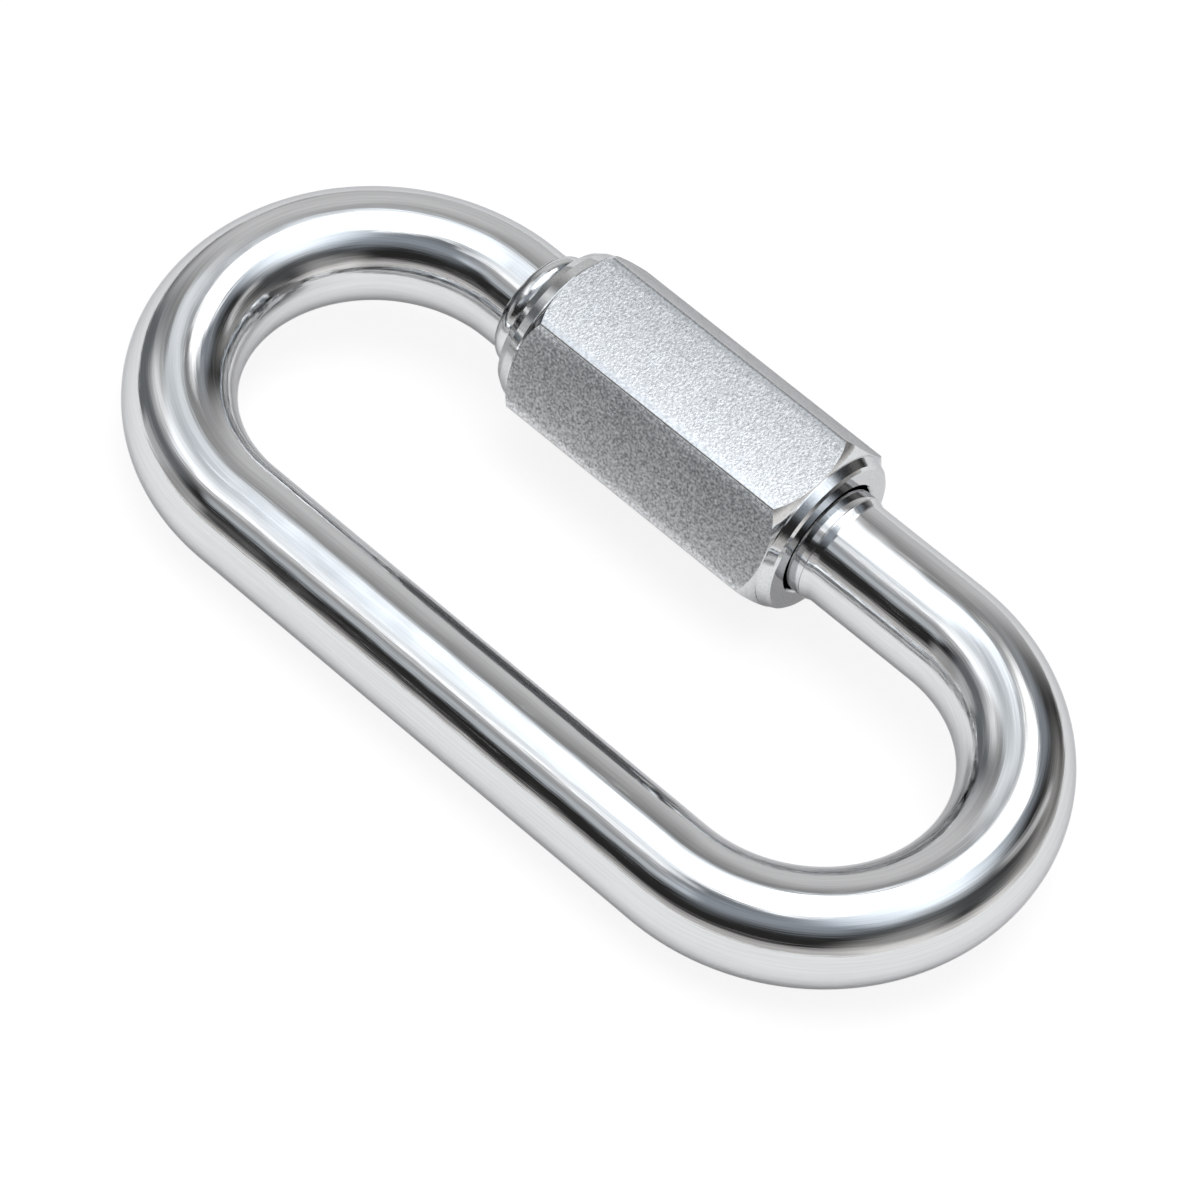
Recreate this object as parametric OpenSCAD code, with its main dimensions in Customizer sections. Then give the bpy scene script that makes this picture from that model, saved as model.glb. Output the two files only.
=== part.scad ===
// Chain quick link: an oval loop of bent round bar, closed by a long hexagon sleeve nut on its thread.
// It lies as it comes to rest, on the plain arm and the lowest edge of the nut, with the thread along X.

/* [Bar] */
// Diameter of the round bar
bar_d = 8; // [7:0.1:9]
// Radius of both end bends, to the middle of the bar
bend_r = 13.8; // [12:0.1:18]
// Length of the arms between the bends
straight_len = 40; // [38:0.5:60]

/* [Collar] */
// Plain bar between the left bend and the collar
collar_stub = 1.45; // [1:0.05:4]
// Width of the collar that the nut closes against
collar_w = 1.85; // [1:0.05:2.2]
// Height of the collar above the bar
collar_rise = 0.5; // [0.3:0.05:0.8]
// Drop from the collar's crest to the edge of its flat face
collar_edge = 0.15; // [0.05:0.05:0.3]

/* [Shoulder] */
// Gap between the closed nut and the full height of the shoulder
lip_show = 0.1; // [0:0.05:0.5]
// Length of the shoulder at its full height
lip_len = 1.05; // [0.6:0.05:1.3]
// Length over which the shoulder falls to the bar
lip_fall = 0.55; // [0.3:0.05:0.8]
// Height of the shoulder above the bar
lip_rise = 0.2; // [0.1:0.05:0.3]
// Radius of the rounding that leads from the thread up to the shoulder
lip_round = 1.5; // [1:0.1:1.6]
// Width of the fine groove at the end of the shoulder's full height
groove_w = 0.1; // [0.06:0.02:0.2]
// Depth of that groove below the shoulder
groove_depth = 0.06; // [0.03:0.01:0.08]

/* [Thread] */
// How far the crests of the thread lie below the surface of the bar
thread_step = 0.05; // [0.02:0.01:0.3]
// Pitch of the thread
thread_pitch = 1.25; // [1:0.05:1.3]
// Whole turns that take the nut from closed to open
open_turns = 9; // [8:1:9]
// Gate between the ends of the thread when the nut is open
gate_gap = 8.2; // [7:0.1:8.8]
// Chamfer on each end of the thread
thread_point = 0.6; // [0.3:0.1:1]

/* [Nut] */
// Width across the nut's flats
nut_af = 12.8; // [12.4:0.1:16]
// Length of the nut
nut_len = 25.8; // [25:0.1:28]
// Turn of the hexagon out of the plane of the loop, in degrees
nut_turn = 7.5; // [-15:0.5:15]
// Length over which the hexagon's corners are taken off
corner_len = 1; // [0.6:0.05:2]
// Radius of the rounding that takes them off
corner_round = 3.5; // [2.5:0.1:4]
// Plain ring between that rounding and each turned band
corner_land = 0.1; // [0.05:0.05:0.3]
// Step from the flats down to the turned bands at both ends
band_step = 0.06; // [0.03:0.01:0.2]
// Length of the turned band at the left end
left_band = 0.75; // [0.4:0.05:1.5]
// Fall of that band's radius towards the edge beside the collar
left_fall = 0.25; // [0.1:0.05:0.4]
// Length of the bevelled edge beside the collar
left_edge = 0.65; // [0.4:0.05:1]
// Fall of that edge's radius towards the left face
left_edge_fall = 0.4; // [0.3:0.05:0.8]
// Length of the turned band beside the shoulder
right_band = 0.8; // [0.6:0.05:2]
// Fall of that band's radius towards the right face
right_fall = 0.5; // [0.2:0.05:0.7]
// Chamfer on the mouths of the bore
mouth = 0.15; // [0.1:0.05:0.4]

/* [Clearances] */
// Radial clearance of the thread in the nut
thread_clear = 0.05; // [0.02:0.01:0.1]
// Radial clearance of the nut's wide bore over the shoulder
lip_clear = 0.2; // [0.1:0.05:0.4]
// Gap between the collar and the closed nut
seat_gap = 0.1; // [0.05:0.05:0.3]
// Gap left before the nut's thread would reach the shoulder
stop_gap = 0.2; // [0.1:0.1:1]
// How far the open nut draws back from the end of the right thread
open_back = 0.2; // [0:0.1:1]

/* [Hidden] */
$fn = 96;
cut = 1;

bar_r = bar_d / 2;
lip_r = bar_r + lip_rise;
collar_r = bar_r + collar_rise;
thread_r = bar_r - thread_step;

// Stations along the thread, from the collar to the shoulder
travel = open_turns * thread_pitch;
bend_left = -straight_len / 2;
bend_right = straight_len / 2;
collar_left = bend_left + collar_stub;
collar_face = collar_left + collar_w;
nut_left = collar_face + seat_gap;
nut_right = nut_left + nut_len;
right_tip = nut_left + travel - open_back;
left_tip = right_tip - gate_gap;
lip_left = nut_right + lip_show;
lip_right = lip_left + lip_len;
lip_step = lip_r - thread_r;
shoulder = lip_left - sqrt(lip_step * (2 * lip_round - lip_step));
crease = lip_right + lip_fall;

// Bores of the nut: a threaded length, then a wide bore that runs back over the shoulder and the bar
thread_bore_r = thread_r + thread_clear;
wide_bore_r = lip_r + lip_clear;
wide_bore_left = shoulder - stop_gap - travel;

// Hexagon and the turned bands at its ends
nut_flat_r = nut_af / 2;
nut_corner_r = nut_flat_r / cos(30);
band_r = nut_flat_r - band_step;
left_rim_r = band_r - left_fall - left_edge_fall;
left_band_r = band_r - left_fall - left_fall * left_edge / left_band;
right_rim_r = band_r - right_fall;
corner_rise = nut_corner_r - band_r;

// Rounding of the corners: an arc that rises from the land to the hexagon's corner over the corner length
corner_chord = norm([corner_len, corner_rise]);
corner_sink = sqrt(pow(corner_round, 2) - pow(corner_chord / 2, 2));
corner_in = corner_len / 2 + corner_sink * corner_rise / corner_chord;
crown_r = band_r + corner_rise / 2 - corner_sink * corner_len / corner_chord + corner_round;
crown_left = nut_left + left_edge + left_band + corner_land + corner_in;
crown_right = nut_right - right_band - corner_land - corner_in;

// Tilt at which the nut's lowest edge and the plain arm touch the ground together
function nut_drop(t) = nut_corner_r * cos(30 - abs(nut_turn + t));
function lie(t, n) = n == 0 ? t : lie(asin((nut_drop(t) - bar_r) / (2 * bend_r)), n - 1);
tilt = lie(0, 12);
loop_z = bar_r + bend_r * sin(tilt);
loop_y = (bar_r - nut_corner_r * cos(nut_turn + tilt)) / 2;

// The plane of the loop, laid at rest
module laid() {
    translate([0, loop_y, loop_z]) rotate([tilt, 0, 0]) children();
}

// A shape drawn up Z, laid along the thread from station x
module on_thread(x) {
    translate([x, bend_r, 0]) rotate([0, 90, 0]) children();
}

// Round piece of the stub between two stations, with a radius at each
module turned(x1, x2, r1, r2) {
    on_thread(x1) cylinder(h = x2 - x1, r1 = r1, r2 = r2);
}

// Ring with a round section of radius r that reaches out to radius crest_r
module bead(x, crest_r, r) {
    on_thread(x) rotate_extrude() translate([crest_r - r, 0]) circle(r = r);
}

// Half ring of bar at one end of the loop
module bend(side) {
    translate([side * straight_len / 2, 0, 0])
        rotate([0, 0, -90 * side])
            rotate_extrude(angle = 180) translate([bend_r, 0]) circle(d = bar_d);
}

module plain_arm() {
    translate([bend_left, -bend_r, 0]) rotate([0, 90, 0]) cylinder(h = straight_len, d = bar_d);
}

// Short stub: bar, rounded collar with a flat face for the nut, short thread
module left_stub() {
    turned(bend_left, collar_face, bar_r, bar_r);
    bead(collar_left + collar_w / 2, collar_r, collar_w / 2);
    turned(collar_left + collar_w / 2, collar_face, collar_r - collar_edge, collar_r - collar_edge);
    turned(bend_left, left_tip - thread_point, thread_r, thread_r);
    turned(left_tip - thread_point, left_tip, thread_r, thread_r - thread_point);
}

// Long stub: thread, shoulder with a rounded front and a fine groove, bar
module right_stub() {
    turned(right_tip, right_tip + thread_point, thread_r - thread_point, thread_r);
    turned(right_tip + thread_point, crease, thread_r, thread_r);
    turned(lip_left, bend_right, bar_r, bar_r);
    difference() {
        union() {
            bead(lip_left, lip_r, lip_round);
            shoulder_ring();
        }
        groove(lip_right - groove_w);
    }
}

// Shoulder at its full height and its fall, which runs on below the surface of the bar
module shoulder_ring() {
    slope = lip_rise / lip_fall;
    intersection() {
        turned(lip_left, crease + cut, lip_r, lip_r);
        turned(lip_left - cut, crease + 2 * cut, lip_r + (lip_len + cut) * slope, bar_r - 2 * cut * slope);
    }
}

// Fine groove around the shoulder from station x
module groove(x) {
    difference() {
        turned(x, x + groove_w, lip_r + cut, lip_r + cut);
        turned(x - cut, x + groove_w + cut, lip_r - groove_depth, lip_r - groove_depth);
    }
}

module link_body() {
    color([0.80, 0.81, 0.83]) laid() {
        plain_arm();
        bend(-1);
        bend(1);
        left_stub();
        right_stub();
    }
}

// Cone that falls to a rim of the nut; it runs past both faces, and side is the end that it falls to
module nut_cone(rim_r, slope, side) {
    near = rim_r - cut * slope;
    far = rim_r + (nut_len + cut) * slope;
    turned(nut_left - cut, nut_right + cut, side < 0 ? near : far, side < 0 ? far : near);
}

// Turned core of the nut: plain, with a falling band at each end and a bevelled edge on the left one
module nut_core() {
    intersection() {
        turned(nut_left, nut_right, band_r, band_r);
        nut_cone(left_band_r, left_fall / left_band, -1);
        nut_cone(left_rim_r, left_edge_fall / left_edge, -1);
        nut_cone(right_rim_r, right_fall / right_band, 1);
    }
}

// Round blank with rounded ends, which the hexagon is cut from
module nut_crown() {
    turned(crown_left, crown_right, crown_r, crown_r);
    bead(crown_left, crown_r, corner_round);
    bead(crown_right, crown_r, corner_round);
}

module nut_hexagon() {
    on_thread(nut_left) rotate([0, 0, nut_turn + 30]) cylinder(h = nut_len, r = nut_corner_r, $fn = 6);
}

module nut_bore() {
    turned(nut_left - cut, nut_right + cut, thread_bore_r, thread_bore_r);
    turned(wide_bore_left, nut_right + cut, wide_bore_r, wide_bore_r);
    turned(nut_left - cut, nut_left + mouth, thread_bore_r + mouth + cut, thread_bore_r);
    turned(nut_right - mouth, nut_right + cut, wide_bore_r, wide_bore_r + mouth + cut);
}

module hex_nut() {
    color([0.66, 0.68, 0.71]) laid() difference() {
        union() {
            nut_core();
            intersection() {
                nut_crown();
                nut_hexagon();
            }
        }
        nut_bore();
    }
}

link_body();
hex_nut();
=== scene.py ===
"""Looks of the chain quick link: a polished bent bar and a satin sleeve nut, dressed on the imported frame."""
import math

import bmesh
import bpy
import numpy as np
from mathutils import Matrix, Vector


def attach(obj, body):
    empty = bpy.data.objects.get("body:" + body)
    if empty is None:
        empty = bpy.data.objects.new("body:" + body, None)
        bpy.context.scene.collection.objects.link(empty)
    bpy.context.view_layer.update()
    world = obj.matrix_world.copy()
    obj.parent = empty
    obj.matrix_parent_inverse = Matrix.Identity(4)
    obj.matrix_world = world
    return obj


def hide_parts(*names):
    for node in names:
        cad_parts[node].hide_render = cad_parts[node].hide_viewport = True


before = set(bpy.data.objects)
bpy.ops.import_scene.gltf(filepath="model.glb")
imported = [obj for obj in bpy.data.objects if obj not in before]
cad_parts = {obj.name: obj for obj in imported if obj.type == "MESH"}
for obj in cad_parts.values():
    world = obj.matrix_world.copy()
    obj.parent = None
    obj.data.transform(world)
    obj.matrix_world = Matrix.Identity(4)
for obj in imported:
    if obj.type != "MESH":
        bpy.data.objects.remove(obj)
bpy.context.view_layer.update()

# Sizes of the part, in millimetres in the plane of the loop: x along the thread, y towards the nut
MM = 0.001
BAR_R = 4.0
BEND_R = 13.8
HALF_LEN = 20.0

# Left stub: collar with the broken edge of its face, its foot on the bar, tip of the thread
COLLAR_MID = -17.625
COLLAR_FACE = -16.7
COLLAR_R = 4.5
COLLAR_BEAD = 0.925
COLLAR_LAND_R = 4.35
COLLAR_BREAK = 0.05
FOOT_RISE = 0.02
FOOT_LEN = 0.06
FOOT_HOLD = 0.16
LEFT_TIP = -13.75

# Right stub: tip and end of the thread, shoulder, fine groove with its broken edges, crease on the bar
RIGHT_TIP = -5.55
SHOULDER = 8.4709
LIP_LEFT = 9.3
LIP_RIGHT = 10.35
LIP_R = 4.2
LIP_ROUND = 1.5
LIP_BLEND = 0.1
GROOVE_W = 0.1
GROOVE_R = 4.14
GROOVE_FLANK = 0.03
GROOVE_BREAK_LEFT = 0.005
GROOVE_BREAK_RIGHT = 0.01
CREASE = 10.9
CREASE_SHARE = 0.25

# Thread: crest and flank are measured from the middle of a crest, in pitches
PITCH = 1.25
THREAD_R = 3.95
THREAD_DEPTH = 0.65
THREAD_POINT = 0.6
CREST_END = 1 / 16
FLANK_END = 6 / 16
ROOT_R = THREAD_R - THREAD_DEPTH
TIP_R = THREAD_R - THREAD_POINT

# How the threads of the bar and of the nut run out
RUNOUT = 0.8
RUNOUT_DROP = 0.4
RUNOUT_END = 0.2
RUNOUT_STEP = 0.05
NUT_RUNOUT = 0.6

# Nut: bores
BORE_GAP = 0.05
BORE_R = THREAD_R + BORE_GAP
RIDGE_R = ROOT_R + BORE_GAP
WIDE_BORE_R = 4.4
WIDE_BORE_LEFT = -2.9791
MOUTH = 0.15

# Nut: hexagon with rounded long edges, flats that bow down towards them, and rounded corners
NUT_LEFT = -16.6
NUT_RIGHT = 9.2
NUT_FLAT_R = 6.4
NUT_TURN = 7.5
SIDE_TURN = 60
HALF_SIDE = math.radians(30)
EDGE_ROUND = 0.18
EDGE_TURN = 24.0
BOW_LEN = 0.7
BOW_DROP = 0.03
CORNER_LEN = 1.0
CORNER_ROUND = 3.5
LAND = 0.1

# Nut: turned bands and edges at its ends
BAND_R = 6.34
LEFT_EDGE_R = 6.09
LEFT_RIM_R = 5.69
RIGHT_EDGE_R = 6.04
RIGHT_RIM_R = 5.84
LEFT_EDGE = 0.65
LEFT_BAND = 0.75
RIGHT_BAND = 0.8
RIGHT_EDGE = 0.18
RIM_CUT = 0.08
RIM_SLOPE = 0.6
RIM_BREAK = 0.06

# How coarse the grain of each flat is
FLAT_GRAIN = (1.1, 0.85, 1.75, 1.2, 1.0, 1.4)

# How the loop lies at rest
TILT = math.radians(6.45346)
LOOP_Y = -1.58599
LOOP_Z = 5.55107

# Camera, in the plane of the loop
CAM_AZ = math.radians(36.95)
CAM_EL = math.radians(54.69)
CAM_ROLL = math.radians(7.75)
CAM_DISTANCE = 400.0
CAM_AIM = (1.935, -1.214, 0.0)
CAM_LENS = 178.1
CAM_SENSOR = 36.0
CAM_CLIP = (0.01, 50.0)

# Fineness of the meshes
BAR_COLUMNS = 96
BEND_ROWS = 90
ARM_ROWS = 20
ROWS_PER_PITCH = 16
BEAD_ROWS = 16
FACE_ROWS = 8
EDGE_COLUMNS = 8
FLAT_COLUMNS = 5
CROWN_ROWS = 6
WELD_DISTANCE = 2e-7
SHARP = math.radians(12)


def laid(points):
    """Points in the plane of the loop, in mm, to the frame of the part, in metres."""
    p = np.asarray(points, float)
    c = math.cos(TILT)
    s = math.sin(TILT)
    y = c * p[..., 1] - s * p[..., 2] + LOOP_Y
    z = s * p[..., 1] + c * p[..., 2] + LOOP_Z
    return np.stack([p[..., 0], y, z], -1) * MM


class Shell:
    """Rings of points, skinned with quads, that become one mesh."""

    # Values that points carry for the materials, as they are where a ring is given none
    PLAIN = {"wear": 0.0, "across": 0.0, "coarse": 1.0}

    def __init__(self):
        self.points = []
        self.grain = []
        self.values = {name: [] for name in self.PLAIN}
        self.faces = []
        self.face_materials = []

    def ring(self, points, grain, values=None):
        """Adds a ring and gives the indices of its points."""
        start = len(self.points)
        self.points.extend(points)
        self.grain.extend(grain)
        for name, plain in self.PLAIN.items():
            self.values[name].extend([plain] * len(points) if values is None else values[name])
        return list(range(start, len(self.points)))

    def quad(self, corners, material):
        """Adds a face by the indices of its corners."""
        self.faces.append(corners)
        self.face_materials.append(material)

    def skin(self, ring_a, ring_b, material):
        """Adds the faces between two rings."""
        count = len(ring_a)
        for j in range(count):
            k = (j + 1) % count
            self.quad((ring_a[j], ring_b[j], ring_b[k], ring_a[k]), material)

    def cap(self, ring, material):
        """Closes a ring with one flat face."""
        self.quad(tuple(ring), material)

    def build(self, name, materials):
        """The finished piece, linked to the scene."""
        mesh = bpy.data.meshes.new(name)
        mesh.from_pydata([tuple(p) for p in laid(self.points)], [], self.faces)
        layer = mesh.attributes.new("grain", "FLOAT_VECTOR", "POINT")
        layer.data.foreach_set("vector", np.asarray(self.grain, np.float32).ravel())
        for value_name, values in self.values.items():
            layer = mesh.attributes.new(value_name, "FLOAT", "POINT")
            layer.data.foreach_set("value", np.asarray(values, np.float32))
        for material in materials:
            mesh.materials.append(material)
        mesh.polygons.foreach_set("material_index", self.face_materials)
        weld(mesh)
        mesh.shade_smooth()
        mesh.set_sharp_from_angle(angle=SHARP)
        piece = bpy.data.objects.new(name, mesh)
        bpy.context.scene.collection.objects.link(piece)
        return piece


def weld(mesh):
    """Joins the rings that coincide, drops faces without area and turns all faces outwards."""
    work = bmesh.new()
    work.from_mesh(mesh)
    bmesh.ops.remove_doubles(work, verts=work.verts, dist=WELD_DISTANCE)
    bmesh.ops.dissolve_degenerate(work, edges=work.edges, dist=WELD_DISTANCE)
    bmesh.ops.recalc_face_normals(work, faces=work.faces)
    work.to_mesh(mesh)
    work.free()


def arc(x_mid, r_mid, radius, x_from, x_to, count):
    """Profile points (x, r) on the outer side of a circle, from one station to another."""
    first, last = [math.acos(max(-1.0, min(1.0, (x - x_mid) / radius))) for x in (x_from, x_to)]
    angles = [first + (last - first) * i / count for i in range(count + 1)]
    return [(x_mid + radius * math.cos(a), r_mid + radius * math.sin(a)) for a in angles]


def bead_profile(x_mid, crest_r, radius, low_r, side, count):
    """Profile of one flank of a bead, from its crest down to a lower radius on the given side."""
    drop = low_r - (crest_r - radius)
    reach = math.sqrt(radius ** 2 - drop ** 2)
    return arc(x_mid, crest_r - radius, radius, x_mid, x_mid + side * reach, count)


def add_profile(shell, stations, make, material, last):
    """Skins the rings of a turned profile, from a ring that is there, and gives its last ring."""
    for x, radius in stations:
        ring = shell.ring(*make(x, radius))
        shell.skin(last, ring, material)
        last = ring
    return last


def envelope(*stations):
    """Radius along x that runs straight between the given (x, r) stations."""
    xs, rs = zip(*stations)
    return lambda x: np.interp(x, xs, rs)


def thread_form(phase):
    """Radius of the male thread by its phase: flat crests and roots with straight flanks."""
    off_crest = np.abs((phase + 0.5) % 1.0 - 0.5)
    share = np.clip((off_crest - CREST_END) / (FLANK_END - CREST_END), 0.0, 1.0)
    return THREAD_R - THREAD_DEPTH * share


def held_thread(low, high, gap=0.0):
    """Radius of a thread by station and phase, held between two envelopes."""
    return lambda x, phase: np.clip(thread_form(phase) + gap, low(x), high(x))


def add_thread(shell, theta, x_from, x_to, radius_at, make, material):
    """Skin of a right-hand thread whose rows follow the helix, cut square at both stations."""
    turn = theta / (2 * math.pi)
    step = 1 / ROWS_PER_PITCH
    first = math.floor((x_from / PITCH - 1) * ROWS_PER_PITCH) * step
    count = math.ceil((x_to / PITCH - first) * ROWS_PER_PITCH) + 2
    rows = []
    for i in range(count):
        x = np.clip(PITCH * (first + i * step + turn), x_from, x_to)
        radius = radius_at(x, x / PITCH - turn)
        rows.append(shell.ring(*make(x, radius)))
    columns = len(theta)
    for i in range(count - 1):
        for j in range(columns):
            wraps = j == columns - 1
            a = i + ROWS_PER_PITCH if wraps else i
            k = 0 if wraps else j + 1
            if a + 1 < count:
                shell.quad((rows[i][j], rows[i + 1][j], rows[a + 1][k], rows[a][k]), material)


# The bar: its material slots, its columns, and the lengths along it that its grain follows

POLISHED = 0
CUT = 1
BAR_THETA = np.arange(BAR_COLUMNS) * 2 * math.pi / BAR_COLUMNS
BEND_LEN = math.pi * BEND_R
LEFT_START = 0.0
ARM_START = LEFT_START + BEND_LEN
RIGHT_START = ARM_START + 2 * HALF_LEN
RIGHT_END = RIGHT_START + BEND_LEN


def bar_ring(centre, outward, radius, along):
    """Points and grain of a ring of the bar, around a centre in the plane of the loop."""
    radius = np.broadcast_to(np.asarray(radius, float), BAR_THETA.shape)
    along = np.broadcast_to(np.asarray(along, float), BAR_THETA.shape)
    out = radius * np.cos(BAR_THETA)
    up = radius * np.sin(BAR_THETA)
    x = centre[0] + out * outward[0]
    y = centre[1] + out * outward[1]
    return np.stack([x, y, up], -1), np.stack([out, up, along], -1)


def stub_points(along):
    """Ring maker for a stub on the thread's axis, with the length along the bar by station."""
    def make(x, radius):
        x = np.broadcast_to(np.asarray(x, float), BAR_THETA.shape)
        points, grain = bar_ring((0.0, BEND_R), (0.0, 1.0), radius, along(x))
        points[:, 0] = x
        return points, grain
    return make


def left_along(x):
    """Length along the bar at a station of the left stub."""
    return LEFT_START - (x + HALF_LEN)


def right_along(x):
    """Length along the bar at a station of the right stub."""
    return RIGHT_END + (HALF_LEN - x)


def left_profile():
    """Stations (x, r) of the left stub from the collar's face back to the bend."""
    right_flank = bead_profile(COLLAR_MID, COLLAR_R, COLLAR_BEAD, COLLAR_LAND_R, 1, FACE_ROWS)
    left_flank = bead_profile(COLLAR_MID, COLLAR_R, COLLAR_BEAD, BAR_R + FOOT_RISE, -1, BEAD_ROWS)
    foot = left_flank[-1][0]
    stations = [(COLLAR_FACE, COLLAR_LAND_R - COLLAR_BREAK), (COLLAR_FACE - COLLAR_BREAK, COLLAR_LAND_R)]
    stations += right_flank[::-1]
    stations += left_flank[1:]
    stations += [(foot - FOOT_LEN, BAR_R), (foot - FOOT_HOLD, BAR_R), (-HALF_LEN, BAR_R)]
    return stations


def right_profile():
    """Stations (x, r) of the right stub from the end of its thread to the bend."""
    groove = LIP_RIGHT - GROOVE_W
    fall = LIP_BLEND * (LIP_R - BAR_R) / (CREASE - LIP_RIGHT)
    front = bead_profile(LIP_LEFT, LIP_R, LIP_ROUND, THREAD_R, -1, BEAD_ROWS)
    stations = front[::-1]
    stations += [(groove - LIP_BLEND, LIP_R), (groove, LIP_R - GROOVE_BREAK_LEFT)]
    stations += [(groove + GROOVE_FLANK, GROOVE_R), (LIP_RIGHT - GROOVE_FLANK, GROOVE_R)]
    stations += [(LIP_RIGHT, LIP_R - GROOVE_BREAK_RIGHT), (LIP_RIGHT + LIP_BLEND, LIP_R - fall)]
    stations += [(CREASE - LIP_BLEND, BAR_R + fall), (CREASE, BAR_R + CREASE_SHARE * fall)]
    stations += [(CREASE + LIP_BLEND, BAR_R), (HALF_LEN, BAR_R)]
    return stations


def thread_ring(shell, make, radius_at, x):
    """Ring where a thread of the bar is cut square at a station."""
    return shell.ring(*make(x, radius_at(x, x / PITCH - BAR_THETA / (2 * math.pi))))


def add_left_stub(shell):
    """Skins the left stub from its tip back to the bend and gives its last ring."""
    make = stub_points(left_along)
    low = envelope((COLLAR_FACE, THREAD_R - RUNOUT_DROP), (COLLAR_FACE + RUNOUT, ROOT_R), (LEFT_TIP, ROOT_R))
    high = envelope((COLLAR_FACE, THREAD_R), (LEFT_TIP - THREAD_POINT, THREAD_R), (LEFT_TIP, TIP_R))
    radius_at = held_thread(low, high)
    shell.cap(thread_ring(shell, make, radius_at, LEFT_TIP), CUT)
    add_thread(shell, BAR_THETA, COLLAR_FACE, LEFT_TIP, radius_at, make, CUT)
    seat = thread_ring(shell, make, radius_at, COLLAR_FACE)
    return add_profile(shell, left_profile(), make, POLISHED, seat)


def add_bend(shell, last, side, start):
    """Skins the bend on one side, which starts at a length along the bar, and gives its last ring."""
    for i in range(1, BEND_ROWS + 1):
        a = math.radians(-90 * side + 180 * i / BEND_ROWS)
        out = (math.cos(a), math.sin(a))
        centre = (side * HALF_LEN + BEND_R * out[0], BEND_R * out[1])
        ring = shell.ring(*bar_ring(centre, out, BAR_R, start + BEND_LEN * i / BEND_ROWS))
        shell.skin(last, ring, POLISHED)
        last = ring
    return last


def add_arm(shell, last):
    """Skins the plain arm from a ring that is there and gives its last ring."""
    for i in range(1, ARM_ROWS + 1):
        x = -HALF_LEN + 2 * HALF_LEN * i / ARM_ROWS
        ring = shell.ring(*bar_ring((x, -BEND_R), (0.0, -1.0), BAR_R, ARM_START + x + HALF_LEN))
        shell.skin(last, ring, POLISHED)
        last = ring
    return last


def add_right_stub(shell, last):
    """Skins the right stub from a ring that is there at the bend to its tip."""
    make = stub_points(right_along)
    low = envelope(
        (RIGHT_TIP, ROOT_R), (SHOULDER - RUNOUT, ROOT_R),
        (SHOULDER - RUNOUT_END, THREAD_R - RUNOUT_STEP), (SHOULDER, THREAD_R))
    high = envelope((RIGHT_TIP, TIP_R), (RIGHT_TIP + THREAD_POINT, THREAD_R), (SHOULDER, THREAD_R))
    radius_at = held_thread(low, high)
    add_profile(shell, right_profile()[::-1], make, POLISHED, last)
    add_thread(shell, BAR_THETA, RIGHT_TIP, SHOULDER, radius_at, make, CUT)
    shell.cap(thread_ring(shell, make, radius_at, RIGHT_TIP), CUT)


def bar_piece(materials):
    """The bar from the tip of its left stub, around the loop, to the tip of its right stub."""
    shell = Shell()
    last = add_left_stub(shell)
    last = add_bend(shell, last, -1, LEFT_START)
    last = add_arm(shell, last)
    last = add_bend(shell, last, 1, RIGHT_START)
    add_right_stub(shell, last)
    return shell.build("polished_bar", materials)


# The nut: its material slots, and how far out the roundings of its long edges are centred

FLAT = 0
TURNED = 1
EDGE_MID = (NUT_FLAT_R - BOW_DROP - EDGE_ROUND) / math.cos(HALF_SIDE)


def edge_point(share):
    """Point on the rounding of a long edge, from one side at -1 to the other at 1."""
    a = math.radians(EDGE_TURN * share)
    return EDGE_MID + EDGE_ROUND * math.cos(a), EDGE_ROUND * math.sin(a)


def edge_columns():
    """Columns of a long edge: angle from its middle, radius, wear and place across the flat."""
    columns = []
    for i in range(EDGE_COLUMNS + 1):
        share = 2 * i / EDGE_COLUMNS - 1
        x, y = edge_point(share)
        columns.append((math.atan2(y, x), math.hypot(x, y), 1.0, -share))
    return columns


def flat_columns():
    """Columns of a flat: angle from its middle, radius, wear and place across it."""
    x, y = edge_point(1)
    reach = x * math.sin(HALF_SIDE) - y * math.cos(HALF_SIDE)
    places = [-reach + BOW_LEN * i / FLAT_COLUMNS for i in range(1, FLAT_COLUMNS + 1)]
    places += [(BOW_LEN - reach) * (1 - i / FLAT_COLUMNS) for i in range(1, FLAT_COLUMNS)]
    places += [-s for s in places[::-1]]
    columns = []
    for s in places:
        wear = max(0.0, (abs(s) - (reach - BOW_LEN)) / BOW_LEN)
        height = NUT_FLAT_R - BOW_DROP * wear ** 2
        columns.append((math.atan2(s, height), math.hypot(s, height), wear, s / reach))
    return columns


def nut_columns():
    """Angle and radius of each column of the nut, and the values that its points carry."""
    columns = []
    for side, flat_coarse in enumerate(FLAT_GRAIN):
        middle = math.radians(NUT_TURN + SIDE_TURN * side)
        for angle, *rest in edge_columns():
            columns.append((middle + angle, *rest, Shell.PLAIN["coarse"]))
        for angle, *rest in flat_columns():
            columns.append((middle + HALF_SIDE + angle, *rest, flat_coarse))
    theta, radius, wear, across, coarse = np.array(columns).T
    return theta, radius, {"wear": wear, "across": across, "coarse": coarse}


NUT_THETA, NUT_RHO, NUT_VALUES = nut_columns()
CORNER_RISE = NUT_FLAT_R / math.cos(HALF_SIDE) - BAND_R
CORNER_CHORD = math.hypot(CORNER_LEN, CORNER_RISE)
CORNER_SINK = math.sqrt(CORNER_ROUND ** 2 - (CORNER_CHORD / 2) ** 2)
CROWN_IN = CORNER_LEN / 2 + CORNER_SINK * CORNER_RISE / CORNER_CHORD
CROWN_MID_R = BAND_R + CORNER_RISE / 2 - CORNER_SINK * CORNER_LEN / CORNER_CHORD


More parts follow.
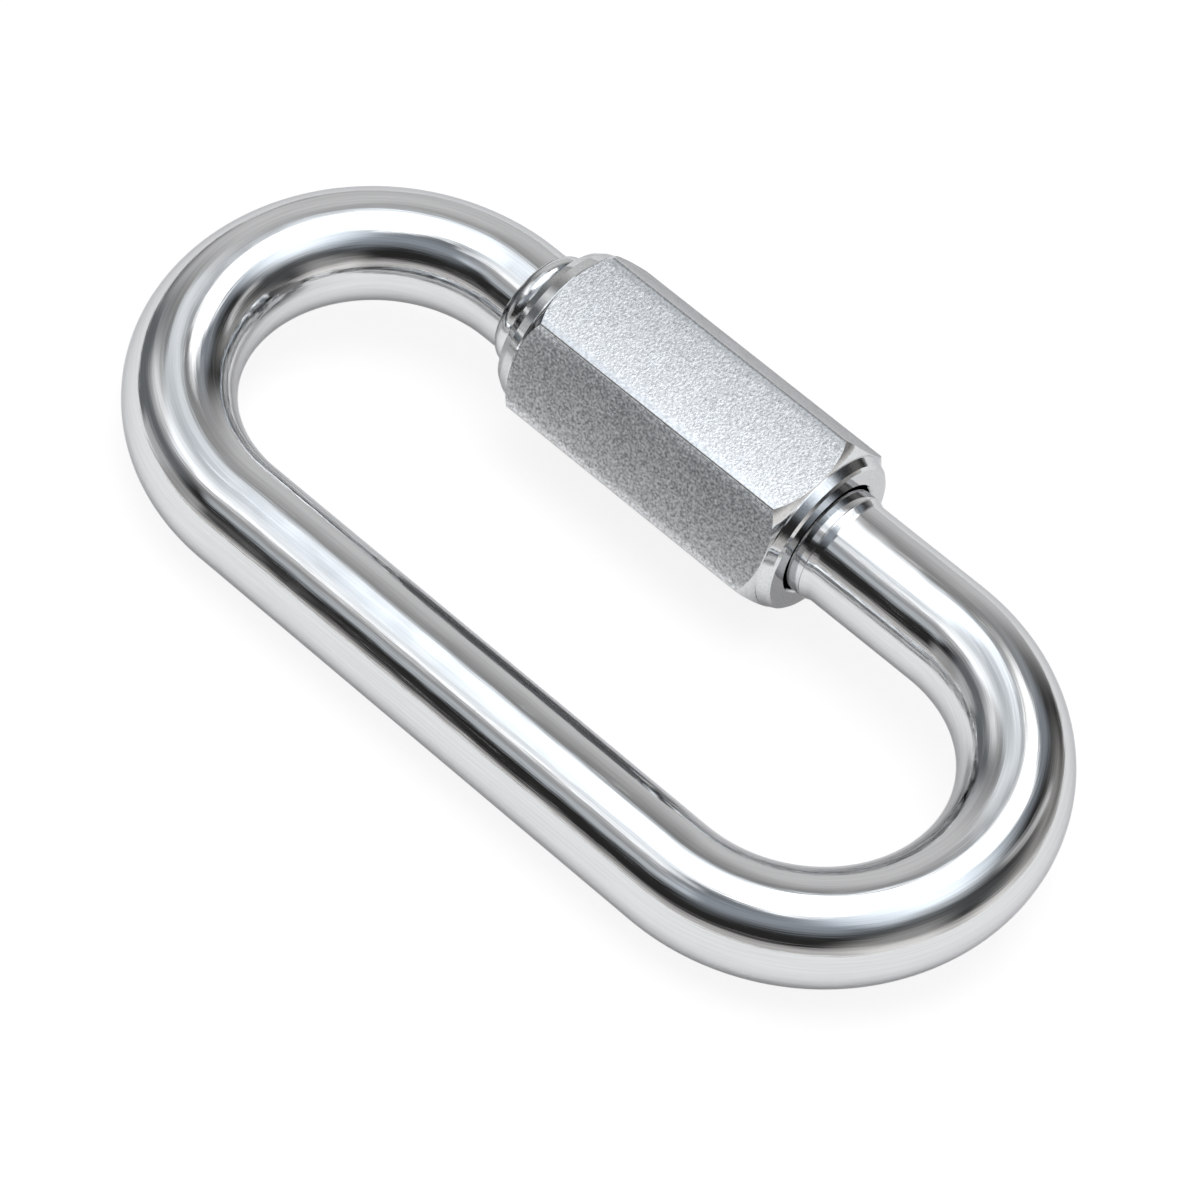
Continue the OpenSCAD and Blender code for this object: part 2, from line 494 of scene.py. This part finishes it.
def nut_points(x, radius):
    """Points, grain and values of a ring of the nut."""
    x = np.broadcast_to(np.asarray(x, float), NUT_THETA.shape)
    radius = np.broadcast_to(np.asarray(radius, float), NUT_THETA.shape)
    y = radius * np.cos(NUT_THETA)
    z = radius * np.sin(NUT_THETA)
    return np.stack([x, BEND_R + y, z], -1), np.stack([y, z, x], -1), NUT_VALUES


def crown_depth(radius):
    """How far from the land the rounding of the corners reaches a radius."""
    return CROWN_IN - np.sqrt(CORNER_ROUND ** 2 - (radius - CROWN_MID_R) ** 2)


def add_crown(shell, land_x, side, last, outwards):
    """Skins the rounding of the corners at one end; inwards, it starts with the flats that lead up to it."""
    order = range(1, CROWN_ROWS + 1) if outwards else range(CROWN_ROWS, -1, -1)
    for i in order:
        radius = BAND_R + (NUT_RHO - BAND_R) * i / CROWN_ROWS
        x = land_x + side * crown_depth(radius)
        ring = shell.ring(*nut_points(x, radius))
        shell.skin(last, ring, TURNED if outwards or i < CROWN_ROWS else FLAT)
        last = ring
    return last


def left_end(land_x):
    """Stations (x, r) of the nut's left end from its face to the land."""
    return [
        (NUT_LEFT, LEFT_RIM_R - RIM_BREAK), (NUT_LEFT + RIM_CUT, LEFT_RIM_R + RIM_SLOPE * RIM_CUT),
        (NUT_LEFT + LEFT_EDGE, LEFT_EDGE_R), (land_x - LAND, BAND_R), (land_x, BAND_R)]


def right_end():
    """Stations (x, r) of the nut's right end from the land over its face to the end of the wide bore."""
    return [
        (NUT_RIGHT - RIGHT_BAND, BAND_R), (NUT_RIGHT - RIGHT_EDGE, RIGHT_EDGE_R), (NUT_RIGHT, RIGHT_RIM_R),
        (NUT_RIGHT, WIDE_BORE_R + MOUTH), (NUT_RIGHT - MOUTH, WIDE_BORE_R),
        (WIDE_BORE_LEFT, WIDE_BORE_R), (WIDE_BORE_LEFT, BORE_R)]


def add_bore_thread(shell):
    """Skins the threaded bore from the mouth at the nut's left face to the wide bore."""
    mouth_end = NUT_LEFT + MOUTH
    low = envelope(
        (NUT_LEFT, BORE_R + MOUTH), (mouth_end, BORE_R), (mouth_end + NUT_RUNOUT, RIDGE_R),
        (WIDE_BORE_LEFT - NUT_RUNOUT, RIDGE_R), (WIDE_BORE_LEFT, BORE_R))
    high = envelope((NUT_LEFT, BORE_R + MOUTH), (mouth_end, BORE_R), (WIDE_BORE_LEFT, BORE_R))
    radius_at = held_thread(low, high, BORE_GAP)
    add_thread(shell, NUT_THETA, NUT_LEFT, WIDE_BORE_LEFT, radius_at, nut_points, TURNED)


def nut_piece(materials):
    """The nut from the mouth of its bore, over its outside, and back through its bore."""
    shell = Shell()
    left_land = NUT_LEFT + LEFT_EDGE + LEFT_BAND + LAND
    right_land = NUT_RIGHT - RIGHT_BAND - LAND
    last = shell.ring(*nut_points(NUT_LEFT, BORE_R + MOUTH))
    last = add_profile(shell, left_end(left_land), nut_points, TURNED, last)
    last = add_crown(shell, left_land, 1, last, True)
    last = add_crown(shell, right_land, -1, last, False)
    add_profile(shell, right_end(), nut_points, TURNED, last)
    add_bore_thread(shell)
    return shell.build("sleeve_nut", materials)


# Materials

class Nodes:
    """Short ways to add and link shader nodes."""

    VALUE_OPERATIONS = ("LENGTH", "DOT_PRODUCT")

    def __init__(self, tree):
        self.tree = tree

    def add(self, kind, **values):
        """A new node with some of its properties set."""
        node = self.tree.nodes.new(kind)
        for name, value in values.items():
            setattr(node, name, value)
        return node

    def link(self, source, target):
        """Links an output to an input."""
        self.tree.links.new(source, target)

    def feed(self, socket, value):
        """Links a socket to another one, or sets it."""
        if isinstance(value, bpy.types.NodeSocket):
            self.link(value, socket)
        else:
            socket.default_value = value

    def attribute(self, name, output):
        """A value that the points of the mesh carry."""
        return self.add("ShaderNodeAttribute", attribute_name=name).outputs[output]

    def math(self, operation, a, b=0.0):
        """Result of an operation on two values."""
        node = self.add("ShaderNodeMath", operation=operation)
        self.feed(node.inputs[0], a)
        self.feed(node.inputs[1], b)
        return node.outputs[0]

    def vector(self, operation, a, b=None):
        """Result of an operation on one or two vectors."""
        node = self.add("ShaderNodeVectorMath", operation=operation)
        self.link(a, node.inputs[0])
        if b is not None:
            self.feed(node.inputs[1], b)
        return node.outputs["Value" if operation in self.VALUE_OPERATIONS else "Vector"]

    def smooth(self, value, low, high, to_low, to_high):
        """Smooth step of a value between two bounds."""
        node = self.add("ShaderNodeMapRange", interpolation_type="SMOOTHSTEP")
        self.feed(node.inputs["Value"], value)
        node.inputs["From Min"].default_value = low
        node.inputs["From Max"].default_value = high
        node.inputs["To Min"].default_value = to_low
        node.inputs["To Max"].default_value = to_high
        return node.outputs["Result"]

    def noise(self, vector, scale, detail, roughness=0.5, stretch=None):
        """Noise in a space that may be stretched."""
        if stretch is not None:
            mapping = self.add("ShaderNodeMapping")
            mapping.inputs["Scale"].default_value = stretch
            self.link(vector, mapping.inputs["Vector"])
            vector = mapping.outputs["Vector"]
        node = self.add("ShaderNodeTexNoise")
        node.inputs["Scale"].default_value = scale
        node.inputs["Detail"].default_value = detail
        node.inputs["Roughness"].default_value = roughness
        self.link(vector, node.inputs["Vector"])
        return node.outputs["Fac"]

    def ramp(self, value, *stops):
        """Colour by a value, from stops of a position and a colour."""
        node = self.add("ShaderNodeValToRGB")
        ends = node.color_ramp.elements
        while len(ends) < len(stops):
            ends.new(0.5)
        for end, (position, colour) in zip(ends, stops):
            end.position = position
            end.color = (*colour, 1.0)
        self.link(value, node.inputs["Fac"])
        return node.outputs["Color"]

    def bump(self, height, distance, normal=None):
        """Normal bent by a height, on top of another normal if one is given."""
        node = self.add("ShaderNodeBump")
        node.inputs["Distance"].default_value = distance
        self.link(height, node.inputs["Height"])
        if normal is not None:
            self.link(normal, node.inputs["Normal"])
        return node.outputs["Normal"]

    def both(self, first, second):
        """Two shaders added up."""
        node = self.add("ShaderNodeAddShader")
        self.link(first, node.inputs[0])
        self.link(second, node.inputs[1])
        return node.outputs[0]


MICRON = 1e-6
RIM_TINT = (0.60, 0.60, 0.61, 1.0)

# Stretch of the grain, which runs in mm across the piece twice and then along it
LINES_ALONG_BAR = (1.0, 1.0, 0.025)
WAVES_ALONG_BAR = (1.0, 1.0, 0.6)
LINES_AROUND_THREAD = (0.15, 0.15, 1.0)
RINGS_AROUND_NUT = (0.05, 0.05, 1.0)


def metal(name):
    """A new metal material: itself, its nodes, its shader and its grain coordinates."""
    material = bpy.data.materials.new(name)
    material.use_nodes = True
    nodes = Nodes(material.node_tree)
    shader = material.node_tree.nodes["Principled BSDF"]
    shader.inputs["Metallic"].default_value = 1.0
    shader.inputs["Specular Tint"].default_value = RIM_TINT
    return material, nodes, shader, nodes.attribute("grain", "Vector")


def finish_metal(nodes, shader, tone, roughness, normal):
    """Links what a metal's nodes made to its shader."""
    nodes.link(tone, shader.inputs["Base Color"])
    nodes.link(roughness, shader.inputs["Roughness"])
    nodes.link(normal, shader.inputs["Normal"])


def bar_material():
    """Bright polished bar: fine lines along it, some of them duller, and slight waves from the bending."""
    material, nodes, shader, grain = metal("bright_bar")
    lines = nodes.noise(grain, scale=6.0, detail=3.0, roughness=0.6, stretch=LINES_ALONG_BAR)
    waves = nodes.noise(grain, scale=0.35, detail=1.0, stretch=WAVES_ALONG_BAR)
    tone = nodes.ramp(lines, (0.3, (0.60, 0.605, 0.61)), (0.7, (0.68, 0.685, 0.69)))
    roughness = nodes.smooth(lines, low=0.50, high=0.75, to_low=0.045, to_high=0.24)
    normal = nodes.bump(waves, 40 * MICRON)
    normal = nodes.bump(lines, 6 * MICRON, normal)
    finish_metal(nodes, shader, tone, roughness, normal)
    return material


def cut_material():
    """Thread of the bar: duller, with fine lines around it."""
    material, nodes, shader, grain = metal("cut_thread")
    lines = nodes.noise(grain, scale=6.0, detail=2.0, stretch=LINES_AROUND_THREAD)
    specks = nodes.noise(grain, scale=5.0, detail=3.0)
    tone = nodes.ramp(specks, (0.3, (0.46, 0.46, 0.46)), (0.7, (0.60, 0.60, 0.60)))
    roughness = nodes.smooth(specks, low=0.3, high=0.7, to_low=0.18, to_high=0.30)
    normal = nodes.bump(lines, 3 * MICRON)
    finish_metal(nodes, shader, tone, roughness, normal)
    return material


WEAR_SHADE = 0.1
# Painted sheen: how much lighter each flat is made towards one side, and darker towards the other
PAINTED_SHEEN_ACROSS = 0.12


def flat_shade(nodes, clumps, wear):
    """Shade of the flats: clumps about 0.5, coarser on some flats, lighter at the edges, and lighter to one
    side as painted sheen.
    """
    across = nodes.attribute("across", "Fac")
    coarse = nodes.attribute("coarse", "Fac")
    spread = nodes.math("MULTIPLY", nodes.math("SUBTRACT", clumps, 0.5), coarse)
    shade = nodes.math("ADD", spread, 0.5)
    shade = nodes.math("ADD", shade, nodes.math("MULTIPLY", wear, WEAR_SHADE))
    # Painted sheen: lighter towards one side of the flat, darker towards the other
    return nodes.math("ADD", shade, nodes.math("MULTIPLY", across, PAINTED_SHEEN_ACROSS))


def flat_material():
    """Satin flats of the nut: a fine grain, worn smooth and bright along the edges, and a painted sheen across
    each flat.
    """
    material, nodes, shader, grain = metal("satin_flats")
    wear = nodes.attribute("wear", "Fac")
    grainy = nodes.smooth(wear, low=0.0, high=0.7, to_low=1.0, to_high=0.0)
    worn = nodes.smooth(wear, low=0.1, high=0.8, to_low=1.0, to_high=0.5)
    clumps = nodes.noise(grain, scale=5.0, detail=2.0, roughness=0.6)
    specks = nodes.noise(grain, scale=9.0, detail=2.0)
    cloud = nodes.noise(grain, scale=0.5, detail=3.0, roughness=0.6)
    tone = nodes.ramp(
        flat_shade(nodes, clumps, wear),
        (0.20, (0.20, 0.202, 0.206)), (0.80, (0.570, 0.574, 0.582)), (1.0, (0.64, 0.644, 0.652)))
    satin = nodes.smooth(cloud, low=0.3, high=0.7, to_low=0.27, to_high=0.34)
    roughness = nodes.math("MULTIPLY", satin, worn)
    normal = nodes.bump(nodes.math("MULTIPLY", clumps, grainy), 18 * MICRON)
    normal = nodes.bump(nodes.math("MULTIPLY", specks, grainy), 4 * MICRON, normal)
    finish_metal(nodes, shader, tone, roughness, normal)
    return material


def turned_material():
    """Turned ends and bore of the nut: bright, with faint rings from the tool."""
    material, nodes, shader, grain = metal("turned_ends")
    rings = nodes.noise(grain, scale=9.0, detail=2.0, stretch=RINGS_AROUND_NUT)
    specks = nodes.noise(grain, scale=6.0, detail=2.0)
    tone = nodes.ramp(specks, (0.3, (0.58, 0.585, 0.59)), (0.7, (0.68, 0.685, 0.69)))
    roughness = nodes.smooth(specks, low=0.3, high=0.7, to_low=0.06, to_high=0.11)
    normal = nodes.bump(rings, 1.5 * MICRON)
    normal = nodes.bump(specks, 1.5 * MICRON, normal)
    finish_metal(nodes, shader, tone, roughness, normal)
    return material


# The stage

# Floor as the camera sees it and as the metal mirrors it: diffuse share, then glow that lifts it to white
FLOOR_SEEN = (0.18, 0.86)
FLOOR_MIRRORED = (0.85, 0.28)
FLOOR_TINT = (1.0, 0.985, 0.965)
FLOOR_HALF = 3.0


def floor_layer(nodes, share, glow):
    """Diffuse floor with a glow added to it."""
    diffuse = nodes.add("ShaderNodeBsdfDiffuse")
    diffuse.inputs["Color"].default_value = (*[share * tint for tint in FLOOR_TINT], 1.0)
    light = nodes.add("ShaderNodeEmission")
    nodes.feed(light.inputs["Strength"], glow)
    return nodes.both(diffuse.outputs[0], light.outputs[0])


def floor_material():
    """White floor that keeps the shadows and shows as white to the camera and in the metal."""
    material = bpy.data.materials.new("white_floor")
    material.use_nodes = True
    tree = material.node_tree
    tree.nodes.clear()
    nodes = Nodes(tree)
    path = nodes.add("ShaderNodeLightPath")
    mirrored = nodes.math("MAXIMUM", path.outputs["Is Glossy Ray"], path.outputs["Is Transmission Ray"])
    mirrored_share, mirrored_glow = FLOOR_MIRRORED
    glow = nodes.math("MULTIPLY", mirrored, mirrored_glow)
    mix = nodes.add("ShaderNodeMixShader")
    nodes.link(path.outputs["Is Camera Ray"], mix.inputs["Fac"])
    nodes.link(floor_layer(nodes, mirrored_share, glow), mix.inputs[1])
    nodes.link(floor_layer(nodes, *FLOOR_SEEN), mix.inputs[2])
    out = nodes.add("ShaderNodeOutputMaterial")
    nodes.link(mix.outputs[0], out.inputs["Surface"])
    material.cycles.emission_sampling = "NONE"
    return material


def make_floor():
    """The floor that the part lies on."""
    half = FLOOR_HALF
    mesh = bpy.data.meshes.new("floor")
    corners = [(-half, -half, 0.0), (half, -half, 0.0), (half, half, 0.0), (-half, half, 0.0)]
    mesh.from_pydata(corners, [], [(0, 1, 2, 3)])
    mesh.materials.append(floor_material())
    floor = bpy.data.objects.new("floor", mesh)
    bpy.context.scene.collection.objects.link(floor)


def cos_sin(angle):
    """Cosine and sine of an angle in degrees."""
    return math.cos(math.radians(angle)), math.sin(math.radians(angle))


class Dome:
    """The studio around the part, on the sky as seen from below: zenith at 0,0 and horizon at radius 1."""

    # Inputs of a Map Range node that hold its bounds in vector form
    VECTOR_BOUNDS = slice(7, 11)

    def __init__(self, nodes):
        self.nodes = nodes
        direction = nodes.add("ShaderNodeTexCoord").outputs["Generated"]
        parts = nodes.add("ShaderNodeSeparateXYZ")
        nodes.link(direction, parts.inputs[0])
        lift = nodes.math("ADD", nodes.math("MAXIMUM", parts.outputs["Z"], 0.0), 1.0)
        level = nodes.vector("MULTIPLY", direction, (1.0, 1.0, 0.0))
        spread = nodes.add("ShaderNodeCombineXYZ")
        for socket in spread.inputs:
            nodes.link(lift, socket)
        self.place = nodes.vector("DIVIDE", level, spread.outputs[0])
        self.turned = {0: self.place}
        self.strength = {}

    def distance(self, centre, radii):
        """Distance from a point of the sky, in shares of two radii."""
        offset = self.nodes.vector("SUBTRACT", self.place, (*centre, 0.0))
        share = self.nodes.vector("DIVIDE", offset, (*radii, 1.0))
        return self.nodes.vector("LENGTH", share)

    def axes(self, angle):
        """Place on the sky along axes that are turned by an angle."""
        if angle not in self.turned:
            nodes = self.nodes
            c, s = cos_sin(angle)
            both = nodes.add("ShaderNodeCombineXYZ")
            nodes.link(nodes.vector("DOT_PRODUCT", self.place, (c, s, 0.0)), both.inputs["X"])
            nodes.link(nodes.vector("DOT_PRODUCT", self.place, (-s, c, 0.0)), both.inputs["Y"])
            self.turned[angle] = both.outputs[0]
        return self.turned[angle]

    def panel(self, x, y, half_x, half_y, soft, angle, strength, colour):
        """Adds a soft-edged panel around x, y, turned by an angle."""
        nodes = self.nodes
        c, s = cos_sin(angle)
        offset = nodes.vector("SUBTRACT", self.axes(angle), (c * x + s * y, c * y - s * x, 0.0))
        edges = nodes.add("ShaderNodeMapRange", data_type="FLOAT_VECTOR", interpolation_type="SMOOTHSTEP")
        nodes.link(nodes.vector("ABSOLUTE", offset), edges.inputs["Vector"])
        low = (half_x - soft, half_y - soft, 0.0)
        high = (half_x + soft, half_y + soft, 1.0)
        bounds = (low, high, (strength, 1.0, 1.0), (0.0, 0.0, 0.0))
        for socket, value in zip(edges.inputs[self.VECTOR_BOUNDS], bounds):
            socket.default_value = value
        sides = nodes.add("ShaderNodeSeparateXYZ")
        nodes.link(edges.outputs["Vector"], sides.inputs[0])
        self.light(nodes.math("MULTIPLY", sides.outputs["X"], sides.outputs["Y"]), colour)

    def light(self, strength, colour):
        """Adds light of a colour to what is there."""
        if colour in self.strength:
            strength = self.nodes.math("ADD", self.strength[colour], strength)
        self.strength[colour] = strength

    def shader(self):
        """All the light of the dome."""
        nodes = self.nodes
        total = None
        for colour, strength in self.strength.items():
            glow = nodes.add("ShaderNodeEmission")
            glow.inputs["Color"].default_value = (*colour, 1.0)
            nodes.link(strength, glow.inputs["Strength"])
            total = glow.outputs[0] if total is None else nodes.both(total, glow.outputs[0])
        return total


WHITE = (1.0, 1.0, 1.0)
COOL = (0.88, 0.94, 1.0)
BLUE = (0.80, 0.89, 1.0)
WARM = (1.0, 0.98, 0.955)

# Panels of the studio: x, y, half sizes, softness and turn on the sky, then strength and colour
PANELS = [
    (-0.014, 0.098, 0.097, 0.246, 0.060, 0, 3.40, WHITE),
    (-0.262, -0.036, 0.157, 0.230, 0.045, 0, 0.67, COOL),
    (-0.391, -0.170, 0.266, 0.076, 0.140, -35, 1.23, WHITE),
    (0.103, 0.045, 0.266, 0.142, 0.140, 12, 1.50, COOL),
    (-0.433, 0.764, 0.609, 0.342, 0.180, 76, 0.74, WHITE),
    (0.132, 0.187, 0.124, 0.373, 0.070, 24, 0.32, BLUE),
    (-0.613, -0.557, 0.298, 0.098, 0.060, -35, 0.40, WHITE),
    (0.140, -0.285, 0.270, 0.118, 0.120, 33, 0.42, BLUE),
    (-0.185, -0.268, 0.130, 0.020, 0.020, 0, 0.75, WHITE),
    (-0.165, -0.452, 0.135, 0.050, 0.045, 12, 0.62, COOL),
    (0.820, -0.200, 0.255, 0.234, 0.120, 0, 0.34, WARM),
    (0.342, 0.436, 0.030, 0.160, 0.060, 12, 0.80, WHITE),
    (-0.725, -0.169, 0.230, 0.409, 0.070, 24, 0.17, COOL),
    (0.768, 0.429, 0.098, 0.660, 0.180, 61, 0.41, WARM),
    (-0.130, 0.000, 0.070, 0.165, 0.025, 0, 0.60, COOL),
    (0.580, 0.050, 0.140, 0.280, 0.100, 0, 0.07, COOL),
]

# Light that rises towards the horizon, outside an oval of the sky that stays dark
RIM_CENTRE = (-0.110, 0.075)
RIM_RADII = (0.940, 0.940)
RIM_RISE = (0.89, 1.09)
RIM_LIGHT = 0.68
DARK_LIGHT = 0.03


def make_world():
    """The studio as the part sees it, and plain white as the camera sees it."""
    world = bpy.data.worlds.new("studio")
    bpy.context.scene.world = world
    world.use_nodes = True
    tree = world.node_tree
    tree.nodes.clear()
    nodes = Nodes(tree)
    dome = Dome(nodes)
    rim = dome.distance(RIM_CENTRE, RIM_RADII)
    dome.light(nodes.smooth(rim, *RIM_RISE, DARK_LIGHT, RIM_LIGHT), WARM)
    for panel in PANELS:
        dome.panel(*panel)
    path = nodes.add("ShaderNodeLightPath")
    plain = nodes.add("ShaderNodeEmission")
    shown = nodes.add("ShaderNodeMixShader")
    nodes.link(path.outputs["Is Camera Ray"], shown.inputs["Fac"])
    nodes.link(dome.shader(), shown.inputs[1])
    nodes.link(plain.outputs[0], shown.inputs[2])
    out = nodes.add("ShaderNodeOutputWorld")
    nodes.link(shown.outputs[0], out.inputs["Surface"])


def make_camera():
    """The camera at the photo's viewing angle, set up in the plane of the loop and laid with it."""
    back = np.array([
        math.sin(CAM_AZ) * math.cos(CAM_EL), -math.cos(CAM_AZ) * math.cos(CAM_EL), math.sin(CAM_EL)])
    level = np.array([math.cos(CAM_AZ), math.sin(CAM_AZ), 0.0])
    upright = np.cross(back, level)
    right = math.cos(CAM_ROLL) * level + math.sin(CAM_ROLL) * upright
    up = np.cross(back, right)
    aim = np.array(CAM_AIM)
    axes = [Vector(laid(aim + axis) - laid(aim)).normalized() for axis in (right, up, back)]
    placed = Matrix(axes).transposed().to_4x4()
    placed.translation = Vector(laid(aim + back * CAM_DISTANCE))
    data = bpy.data.cameras.new("camera")
    data.lens = CAM_LENS
    data.sensor_width = CAM_SENSOR
    data.clip_start, data.clip_end = CAM_CLIP
    camera = bpy.data.objects.new("camera", data)
    camera.matrix_world = placed
    bpy.context.scene.collection.objects.link(camera)
    bpy.context.scene.camera = camera


make_camera()
make_floor()
make_world()

bar = bar_piece([bar_material(), cut_material()])
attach(bar, "link")
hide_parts("link_body")

nut = nut_piece([flat_material(), turned_material()])
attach(nut, "nut")
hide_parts("hex_nut")

bpy.context.scene.view_settings.view_transform = "Standard"
